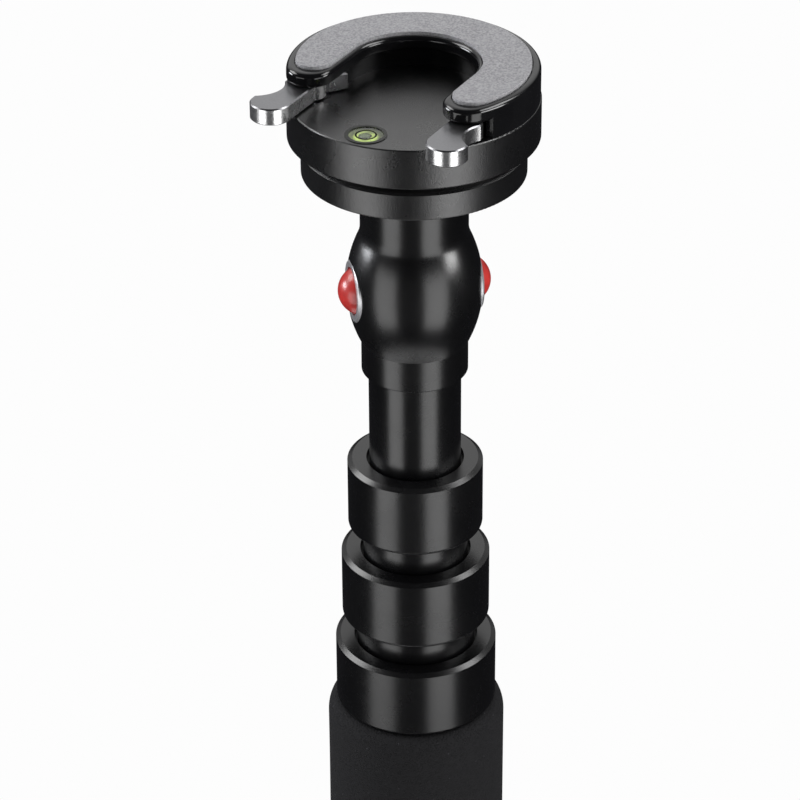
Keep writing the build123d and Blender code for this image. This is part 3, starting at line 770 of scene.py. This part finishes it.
class Finishes:
    """Every finish on the pole, with each material made at its first use."""

    ANODISED = Anodised("satin_black_anodised")
    BLASTED = Anodised(
        "blasted_black_anodised", colour=(0.0022, 0.0022, 0.0025), roughness=0.27,
        specular=1.0, grain_scale=3400.0, grain_height=0.00005,
    )
    POWDER = Anodised(
        "powder_coated_base", colour=(0.0060, 0.0060, 0.0064), fleck_colour=(0.016, 0.016, 0.017),
        roughness=0.52, specular=0.35, grain_scale=2200.0, grain_height=0.00006,
    )
    GLOSS = GlossBlack("gloss_black_plate")
    PAD = PadGrain("grey_pebbled_pad")
    LEVER = Brushed("brushed_levers")
    BEZEL = Metal(
        "satin_bezels", colour=(0.66, 0.66, 0.67), tint=(0.50, 0.50, 0.52), roughness=0.42,
        roughness_swing=0.05, grain_scale=3600.0, grain_height=0.000006,
    )
    STEEL = Metal(
        "plain_steel", colour=(0.56, 0.56, 0.57), tint=(0.44, 0.44, 0.46), roughness=0.28,
        grain_scale=3000.0, grain_height=0.000006,
    )
    BRONZE = Metal(
        "bearing_bronze", colour=(0.62, 0.44, 0.22), tint=(0.50, 0.33, 0.16), roughness=0.32,
        ringed=True,
    )
    BUTTON = ButtonPlastic("red_button_plastic")
    PLASTIC = Moulded("black_moulded_plastic")
    RUBBER = Moulded(
        "foot_rubber", colour=(0.014, 0.014, 0.014), pale=(0.028, 0.028, 0.028), roughness=0.76,
        grain_scale=1800.0, grain_height=0.00004,
    )
    FOAM = Foam("closed_cell_foam")
    CUP = Moulded(
        "level_cup_plastic", colour=(0.010, 0.011, 0.009), pale=(0.020, 0.021, 0.018),
        roughness=0.34, specular=0.25, grain_height=0.000003,
    )
    LIQUID = LevelLiquid("level_liquid")
    GLASS = Clear("level_window")
    BUBBLE = LevelBubble("level_bubble")
    MARK = Moulded(
        "level_mark", colour=(0.006, 0.007, 0.005), pale=(0.010, 0.011, 0.008), roughness=0.7,
        specular=0.1,
    )

    def __init__(self) -> None:
        """Starts with no material made."""
        self.effects = Effects()
        self._made: dict[str, bpy.types.Material] = {}

    def material(self, finish: Finish) -> bpy.types.Material:
        """The material of a finish, made once.

        Args:
            finish: The finish.

        Returns:
            Its material.
        """
        if finish.name not in self._made:
            self._made[finish.name] = finish.material(self.effects)
        return self._made[finish.name]

    def dress(self, piece: bpy.types.Object, finish: Finish) -> None:
        """Gives a piece one finish all over."""
        piece.data.materials.clear()
        piece.data.materials.append(self.material(finish))


def middle_of(node: str) -> Vector:
    """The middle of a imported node's box."""
    low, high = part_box(node)
    return (low + high) / 2


@dataclass
class SubAssembly:
    """A group of pieces that are dressed and built together."""

    frame: dict
    finishes: Finishes

    def nodes(self) -> dict[str, Finish]:
        """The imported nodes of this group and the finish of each."""
        raise NotImplementedError

    def dress(self) -> None:
        """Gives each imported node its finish."""
        for name, finish in self.nodes().items():
            self.finishes.dress(self.frame["nodes"][name], finish)
            log.info("dressed %s with %s", name, finish.name)

    def build(self) -> None:
        """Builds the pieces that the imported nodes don't show."""

    def piece(
        self,
        name: str,
        mesh: bmesh.types.BMesh,
        finish: Finish,
        body: Body,
        slot: Slot,
        replaces: Sequence[str] = (),
    ) -> bpy.types.Object:
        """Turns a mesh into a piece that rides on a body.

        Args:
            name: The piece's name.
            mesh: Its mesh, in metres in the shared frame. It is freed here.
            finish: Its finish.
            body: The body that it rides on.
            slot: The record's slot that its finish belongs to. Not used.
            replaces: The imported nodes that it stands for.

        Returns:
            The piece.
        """
        made = placed_mesh(name, mesh)
        for face in made.data.polygons:
            face.use_smooth = True
        self.finishes.dress(made, finish)
        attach(made, body.value)
        if replaces:
            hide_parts(*replaces)
        log.info("built %s on %s", name, body.value)
        return made

    def spring(self, node: str, joint: str, direction: Vector, travel: float) -> None:
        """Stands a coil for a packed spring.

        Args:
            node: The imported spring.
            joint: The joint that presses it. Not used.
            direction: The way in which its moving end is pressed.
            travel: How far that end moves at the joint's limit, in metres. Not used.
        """
        coil = bmesh.new()
        coil.from_mesh(self.frame["nodes"][node].data)
        along = [direction.dot(vertex.co) for vertex in coil.verts]
        middle = middle_of(node)
        anchor = middle + direction * (max(along) - direction.dot(middle))
        made = self.piece(
            f"{node}_coil", coil, Finishes.STEEL, Body.TOP_SECTION, Slot.STEEL, [node]
        )
        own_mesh(made)

    def joint(self, name: str) -> dict:
        """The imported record's joint of a name."""
        joints = self.frame["record"]["behaviour"]["joints"]
        return next(joint for joint in joints if joint["name"] == name)


def turned_mesh(
    profile: Profile,
    segments: int,
    centre: Vector | None = None,
    shape: Callable[[float, float, float], Span] | None = None,
    closed: bool = True,
) -> bmesh.types.BMesh:
    """Turns a half section round an upright axis.

    Args:
        profile: Points of the half section as radius and height, in metres.
        segments: The number of steps round the axis.
        centre: Where the axis stands. The pole's own axis where it isn't given.
        shape: Moves a point: takes its radius, height and angle, and returns radius and height.
        closed: Whether the last point joins the first one.

    Returns:
        The mesh, with its normals outwards.
    """
    middle = centre or Vector((0, 0, 0))
    mesh = bmesh.new()
    columns: list[list[bmesh.types.BMVert]] = []
    for step in range(segments):
        angle = 2 * math.pi * step / segments
        column = []
        for radius, height in profile:
            if shape:
                radius, height = shape(radius, height, angle)
            column.append(mesh.verts.new((
                middle.x + radius * math.cos(angle),
                middle.y + radius * math.sin(angle),
                middle.z + height,
            )))
        columns.append(column)
    last = len(profile) if closed else len(profile) - 1
    for step in range(segments):
        here, there = columns[step], columns[(step + 1) % segments]
        for i in range(last):
            j = (i + 1) % len(profile)
            mesh.faces.new((here[i], there[i], there[j], here[j]))
    bmesh.ops.remove_doubles(mesh, verts=mesh.verts[:], dist=1e-7)
    bmesh.ops.recalc_face_normals(mesh, faces=mesh.faces[:])
    return mesh


@dataclass
class Head(SubAssembly):
    """The quick-release head: jaw plate, pad, levers, floor disc and bubble level."""

    bubble_radius: float = 0.00125
    bubble_height: float = 0.00034
    bubble_drift: Span = (-0.0002, 0.0001)
    bubble_gap: float = 0.00001
    bubble_fullness: float = 0.6
    bubble_steps: int = 14
    mark_radius: float = 0.00195
    mark_width: float = 0.00036
    mark_height: float = 0.00006
    level_segments: int = 96

    def nodes(self) -> dict[str, Finish]:
        """The head's nodes. Modelled coils stand for the lever springs."""
        found = {
            "head_disc": Finishes.BLASTED, "neck_flange": Finishes.BLASTED,
            "spacer_washer": Finishes.PLASTIC, "centre_bolt": Finishes.STEEL,
            "ring_screws": Finishes.STEEL, "jaw_ring": Finishes.GLOSS,
            "grip_pad": Finishes.PAD, "level_cup": Finishes.CUP,
            "level_liquid": Finishes.LIQUID, "level_glass": Finishes.GLASS,
        }
        for hand in HANDS:
            found[f"{hand}_lever"] = Finishes.LEVER
            found[f"{hand}_lever_pin"] = Finishes.STEEL
        return found

    def build(self) -> None:
        """Builds the level's mark and bubble, and the springs behind the levers."""
        low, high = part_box("level_glass")
        centre = Vector(((low.x + high.x) / 2, (low.y + high.y) / 2, 0.0))
        mesh = turned_mesh(self._mark_profile(high.z), self.level_segments, centre)
        self.piece("level_ring_mark", mesh, Finishes.MARK, Body.TOP_SECTION, Slot.BLACK_PLASTIC)
        place = centre + Vector((*self.bubble_drift, 0.0))
        dome = self._bubble_profile(low.z + self.bubble_gap)
        mesh = turned_mesh(dome, self.level_segments, place, closed=False)
        self.piece("level_bubble", mesh, Finishes.BUBBLE, Body.TOP_SECTION, Slot.LEVEL_GLASS)
        self._lever_springs()

    def _mark_profile(self, surface: float) -> Profile:
        """The half section of the ring mark, sunk into the window's top.

        Args:
            surface: The height of the window's top.

        Returns:
            Its points.
        """
        inner = self.mark_radius - self.mark_width / 2
        outer = self.mark_radius + self.mark_width / 2
        bottom, top = surface - self.mark_height, surface + self.mark_height / 2
        edge = self.mark_height / 3
        return [
            (inner, bottom), (outer, bottom), (outer, top - edge), (outer - edge, top),
            (inner + edge, top), (inner, top - edge),
        ]

    def _bubble_profile(self, floor: float) -> Profile:
        """The half section of the bubble, a low dome.

        Args:
            floor: The height of its flat underside.

        Returns:
            Its points, from the axis out and back to it.
        """
        dome = [(0.0, floor), (self.bubble_radius, floor)]
        for i in range(1, self.bubble_steps):
            turn = QUARTER_TURN * i / self.bubble_steps
            dome.append((
                self.bubble_radius * math.cos(turn) ** self.bubble_fullness,
                floor + self.bubble_height * math.sin(turn),
            ))
        dome.append((0.0, floor + self.bubble_height))
        return dome

    def _lever_springs(self) -> None:
        """Builds the springs behind the levers, which a squeezed lever presses outwards."""
        left, right = (middle_of(f"{hand}_lever_spring") for hand in HANDS)
        across = (right - left).normalized()
        for hand, middle, outward in (("left", left, -across), ("right", right, across)):
            squeeze = self.joint(f"{hand}_lever_squeeze")
            arm = middle - Vector(squeeze["pos_m"])
            arm -= arm.dot(across) * across
            arm.z = 0.0
            travel = arm.length * math.sin(math.radians(squeeze["range_deg"][1]))
            self.spring(f"{hand}_lever_spring", squeeze["name"], outward, travel)


@dataclass
class Coupling(SubAssembly):
    """The coupling with its two push buttons, and the spigot that it sits on."""

    def nodes(self) -> dict[str, Finish]:
        """The coupling's nodes. Modelled coils stand for the button springs."""
        found = {
            "coupling_body": Finishes.ANODISED, "spigot": Finishes.ANODISED,
            "socket_sleeve": Finishes.BRONZE,
        }
        for hand in HANDS:
            found[f"{hand}_button"] = Finishes.BUTTON
            found[f"{hand}_bezel"] = Finishes.BEZEL
            found[f"{hand}_latch_plate"] = Finishes.STEEL
        return found

    def build(self) -> None:
        """Builds the springs that the buttons press."""
        for hand in HANDS:
            press = self.joint(f"{hand}_button_press")
            inward = Vector(press["axis"]).normalized()
            self.spring(f"{hand}_button_spring", press["name"], inward, press["range_m"][1])


@dataclass
class Pole(SubAssembly):
    """The nested tubes, the three twist locks and the foam grip."""

    grip_segments: int = 180
    grip_rows: int = 90
    bore_play: float = 0.00005
    shoulder: float = 0.0042
    shoulder_steps: int = 10
    shoulder_depth: float = 0.6
    lower_edge: float = 0.5
    seed: int = 7
    swell_counts: tuple[int, ...] = (2, 3, 5)
    swell_phases: float = 6.28
    swell_length: float = 0.05
    swell_depth: float = 0.00006

    def nodes(self) -> dict[str, Finish]:
        """The pole's nodes. A modelled sleeve stands for the foam."""
        plain = (
            "outer_tube", "second_tube", "third_tube", "top_tube", "grip_end_ring", "end_plug",
        )
        found: dict[str, Finish] = {name: Finishes.ANODISED for name in plain}
        for lock in ("lower", "middle", "upper"):
            found[f"{lock}_lock_nut"] = Finishes.ANODISED
            found[f"{lock}_ferrule"] = Finishes.ANODISED
            found[f"{lock}_collet"] = Finishes.PLASTIC
        for bush in ("second", "third", "top"):
            found[f"{bush}_guide_bush"] = Finishes.PLASTIC
        return found

    def build(self) -> None:
        """Builds the foam sleeve, with its rounded shoulders and a faintly uneven skin."""
        low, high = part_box("foam_grip")
        outer = high.x
        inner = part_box("outer_tube")[1].x + self.bore_play
        bottom, top = low.z, high.z
        noise = random.Random(self.seed)
        waves = [
            (noise.uniform(0, self.swell_phases), noise.uniform(0, self.swell_phases), count)
            for count in self.swell_counts
        ]

        def uneven(radius: float, height: float, angle: float) -> Span:
            """Lets the skin swell and sink.

            Args:
                radius: A point's radius.
                height: Its height.
                angle: Its angle round the pole.

            Returns:
                Its new radius, and its height.
            """
            share = (radius - inner) / (outer - inner)
            climb = 2 * math.pi * (height - bottom) / self.swell_length
            swell = sum(math.sin(n * angle + a) * math.sin(climb + b) for a, b, n in waves)
            return radius - self.swell_depth * share * (1 + swell / len(waves)), height

        profile = self._profile(inner, outer, bottom, top)
        mesh = turned_mesh(profile, self.grip_segments, shape=uneven)
        self.piece("foam_sleeve", mesh, Finishes.FOAM, Body.BASE, Slot.FOAM, ["foam_grip"])

    def _profile(self, inner: float, outer: float, bottom: float, top: float) -> Profile:
        """The foam's half section.

        Args:
            inner: The bore's radius.
            outer: The outside radius.
            bottom: The lower end's height.
            top: The upper end's height.

        Returns:
            Its points, up the outside and down the bore.
        """
        edge = self.shoulder * self.lower_edge
        turns = [QUARTER_TURN * i / self.shoulder_steps for i in range(self.shoulder_steps + 1)]
        points = [(inner, bottom)]
        for turn in turns:
            points.append((
                outer - edge + edge * math.sin(turn), bottom + edge * (1 - math.cos(turn)),
            ))
        straight = top - bottom - edge - self.shoulder
        for i in range(1, self.grip_rows):
            points.append((outer, bottom + edge + straight * i / self.grip_rows))
        for turn in turns:
            points.append((
                outer - self.shoulder * self.shoulder_depth * (1 - math.cos(turn)),
                top - self.shoulder * (1 - math.sin(turn)),
            ))
        points.append((inner, top))
        return points


@dataclass
class Base(SubAssembly):
    """The folding base: hub, three channel legs and their rubber feet."""

    foot_segments: int = 72
    foot_edge: float = 0.001
    foot_edge_steps: int = 5
    foot_rim: float = 0.0003
    foot_shelf: float = 0.0046
    foot_floor: float = 0.002
    boss_radius: float = 0.005
    peg_radius: float = 0.0032
    tread_rings: tuple[float, ...] = (0.0018, 0.0035, 0.0051)
    tread_width: float = 0.0007
    tread_depth: float = 0.0005
    tread_taper: float = 0.6
    side_grooves: tuple[float, ...] = (0.0024, 0.0039, 0.0054)
    groove_width: float = 0.0007
    groove_depth: float = 0.0004
    groove_taper: float = 0.5

    def nodes(self) -> dict[str, Finish]:
        """The base's nodes. Modelled feet stand for the plain ones."""
        found = {
            "base_hub": Finishes.POWDER, "hub_bolt": Finishes.STEEL,
            "base_washer": Finishes.RUBBER,
        }
        for leg in ("front", "right", "left"):
            found[f"{leg}_leg"] = Finishes.POWDER
            found[f"{leg}_leg_pin"] = Finishes.STEEL
        return found

    def build(self) -> None:
        """Builds the three rubber feet, with ribs round the side and a ringed tread."""
        for leg in (Body.FRONT_LEG, Body.RIGHT_LEG, Body.LEFT_LEG):
            name = leg.value.replace("_leg", "_foot")
            low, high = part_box(name)
            centre = Vector(((low.x + high.x) / 2, (low.y + high.y) / 2, low.z))
            profile = self._foot_profile((high.x - low.x) / 2, high.z - low.z)
            mesh = turned_mesh(profile, self.foot_segments, centre)
            self.piece(f"{name}_tread", mesh, Finishes.RUBBER, leg, Slot.FOOT_RUBBER, [name])

    def _foot_profile(self, radius: float, height: float) -> Profile:
        """A foot's half section.

        Args:
            radius: The foot's outside radius.
            height: The foot's height.

        Returns:
            Its points, out along the tread, up the ribbed side and down the bores.
        """
        points = [(0.0, 0.0)]
        half = self.tread_width / 2
        for ring in self.tread_rings:
            points += [
                (ring - half, 0.0), (ring - half * self.tread_taper, self.tread_depth),
                (ring + half * self.tread_taper, self.tread_depth), (ring + half, 0.0),
            ]
        for i in range(self.foot_edge_steps + 1):
            turn = QUARTER_TURN * i / self.foot_edge_steps
            points.append((
                radius - self.foot_edge * (1 - math.sin(turn)),
                self.foot_edge * (1 - math.cos(turn)),
            ))
        half, inside = self.groove_width / 2, radius - self.groove_depth
        for groove in self.side_grooves:
            points += [
                (radius, groove - half), (inside, groove - half * self.groove_taper),
                (inside, groove + half * self.groove_taper), (radius, groove + half),
            ]
        points += [
            (radius, height - self.foot_rim), (radius - self.foot_rim, height),
            (self.boss_radius, height), (self.boss_radius, self.foot_shelf),
            (self.peg_radius, self.foot_shelf), (self.peg_radius, self.foot_floor),
            (0.0, self.foot_floor),
        ]
        return points


@dataclass(frozen=True)
class SoftBox:
    """A soft light that faces the pole's axis."""

    name: str
    azimuth: float
    reach: float
    height: float
    aim: float
    size: Span
    radiance: float
    tint: Colour = (1.0, 1.0, 1.0)

    def build(self) -> None:
        """Adds the light. The camera doesn't see it."""
        turn = math.radians(self.azimuth)
        place = Vector((math.sin(turn) * self.reach, -math.cos(turn) * self.reach, self.height))
        data = bpy.data.lights.new(self.name, "AREA")
        data.shape = "RECTANGLE"
        data.size, data.size_y = self.size
        data.energy = self.radiance * math.pi * self.size[0] * self.size[1]
        data.color = self.tint
        light = placed(self.name, data)
        facing = (Vector((0, 0, self.aim)) - place).to_track_quat("-Z", "Y")
        light.matrix_world = Matrix.LocRotScale(place, facing, None)
        light.visible_camera = False


@dataclass(frozen=True)
class View:
    """The camera at the photograph's viewing angle. Angles are in radians."""

    pitch: float = 0.5295335
    roll: float = -0.0037354
    place: Place = (0.0, -0.5869, 0.8065)
    sensor: float = 36.0
    lens: float = 148.862
    shift: float = -0.0187
    nearest: float = 0.05

    def build(self) -> None:
        """Adds the camera and makes it the scene's own."""
        across = Vector((1, 0, 0))
        upward = Vector((0, math.sin(self.pitch), math.cos(self.pitch)))
        right = math.cos(self.roll) * across + math.sin(self.roll) * upward
        up = -math.sin(self.roll) * across + math.cos(self.roll) * upward
        turned = Matrix((right, up, right.cross(up))).transposed().to_4x4()
        data = bpy.data.cameras.new("view")
        data.sensor_width = self.sensor
        data.lens = self.lens
        data.shift_x = self.shift
        data.clip_start = self.nearest
        camera = placed("view", data)
        camera.matrix_world = Matrix.Translation(self.place) @ turned
        bpy.context.scene.camera = camera


@dataclass
class Studio:
    """The pale floor, the soft lights and the white surroundings."""

    floor_radius: float = 0.27
    floor_drop: float = 0.0001
    floor_segments: int = 96
    floor_fade: Span = (0.20, 0.26)
    floor_colour: Colour = (0.86, 0.86, 0.86)
    floor_roughness: float = 0.9
    floor_specular: float = 0.1
    ambient: float = 0.26
    dark: Colour = (0.012, 0.012, 0.014)
    backdrop_way: Span = (0.8, 0.6)
    backdrop_spread: Span = (0.66, 0.95)
    horizon_spread: Span = (-0.02, 0.22)
    boxes: tuple[SoftBox, ...] = (
        SoftBox("front_left_strip", -49.0, 0.75, 0.21, 0.21, (0.50, 0.74), 2.3),
        SoftBox("front_right_strip", 36.0, 0.75, 0.21, 0.21, (0.52, 0.74), 2.6),
        SoftBox("front_fill", -7.0, 0.80, 0.21, 0.21, (0.30, 0.74), 0.07),
        SoftBox("side_box_left", -102.0, 0.90, 0.65, 0.65, (0.36, 0.23), 19.0, (0.94, 0.96, 1.0)),
        SoftBox("side_box_right", 72.0, 0.90, 0.67, 0.67, (0.36, 0.24), 13.0),
        SoftBox("high_box_left", -112.0, 0.69, 1.08, 0.50, (0.55, 0.34), 7.0),
        SoftBox("high_box_right", 92.0, 0.65, 1.125, 0.50, (0.55, 0.34), 7.0),
    )

    def build(self) -> None:
        """Builds everything that isn't part of the object, apart from the camera."""
        self._world()
        self._floor()
        for box in self.boxes:
            box.build()

    def _world(self) -> None:
        """White for the camera, white at the upper back for gloss and glass, and grey light."""
        world = bpy.data.worlds.new("studio")
        bpy.context.scene.world = world
        world.use_nodes = True
        graph = Graph(world.node_tree)
        parts = graph.parts(graph.node("ShaderNodeTexCoord").outputs["Generated"])
        back, up = self.backdrop_way
        toward_back = graph.math("MULTIPLY_ADD", parts[1], back, graph.share(parts[2], up))
        backdrop = graph.spread(toward_back, *self.backdrop_spread)
        glow = graph.share(backdrop, graph.spread(parts[2], *self.horizon_spread))
        reflected = graph.blend(glow, self.dark, PAPER_WHITE)
        lit = graph.blend(graph.mirrored(), (self.ambient,) * 3, reflected)
        colour = graph.blend(graph.ray("Camera"), lit, PAPER_WHITE)
        background = graph.node("ShaderNodeBackground", {"Color": colour, "Strength": 1.0})
        graph.node("ShaderNodeOutputWorld", {"Surface": background.outputs[0]})

    def _floor(self) -> None:
        """A round pale floor that fades into the white surroundings and keeps the shadow."""
        mesh = bmesh.new()
        bmesh.ops.create_circle(
            mesh, cap_ends=True, segments=self.floor_segments, radius=self.floor_radius
        )
        floor = placed_mesh("floor", mesh)
        floor.location.z = -self.floor_drop
        floor.data.materials.append(self._paper())

    def _paper(self) -> bpy.types.Material:
        """The floor's paper, and the glow of its rim that only looks and reflections see."""
        material = bpy.data.materials.new("floor_paper")
        material.use_nodes = True
        graph = Graph(material.node_tree)
        place = graph.node("ShaderNodeNewGeometry").outputs["Position"]
        rim = graph.spread(graph.radius(graph.parts(place)), *self.floor_fade)
        seen = graph.math("MAXIMUM", graph.ray("Camera"), graph.mirrored())
        paper = graph.node("ShaderNodeBsdfPrincipled", {
            "Base Color": (*self.floor_colour, 1.0), "Roughness": self.floor_roughness,
            "Specular IOR Level": self.floor_specular,
        })
        white = graph.node("ShaderNodeEmission", {"Color": (*PAPER_WHITE, 1.0), "Strength": 1.0})
        inputs = {0: graph.share(rim, seen), 1: paper.outputs[0], 2: white.outputs[0]}
        mixed = graph.node("ShaderNodeMixShader", inputs)
        graph.node("ShaderNodeOutputMaterial", {"Surface": mixed.outputs[0]})
        return material


def main() -> None:
    """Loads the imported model, dresses it and builds what belongs round it."""
    logging.basicConfig(level=logging.INFO, format="%(name)s: %(message)s")
    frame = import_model()
    bpy.context.scene.view_settings.view_transform = "Standard"
    finishes = Finishes()
    View().build()
    Studio().build()
    for assembly in (Base, Pole, Coupling, Head):
        group = assembly(frame, finishes)
        group.dress()
        group.build()


if __name__ == "__main__":
    main()
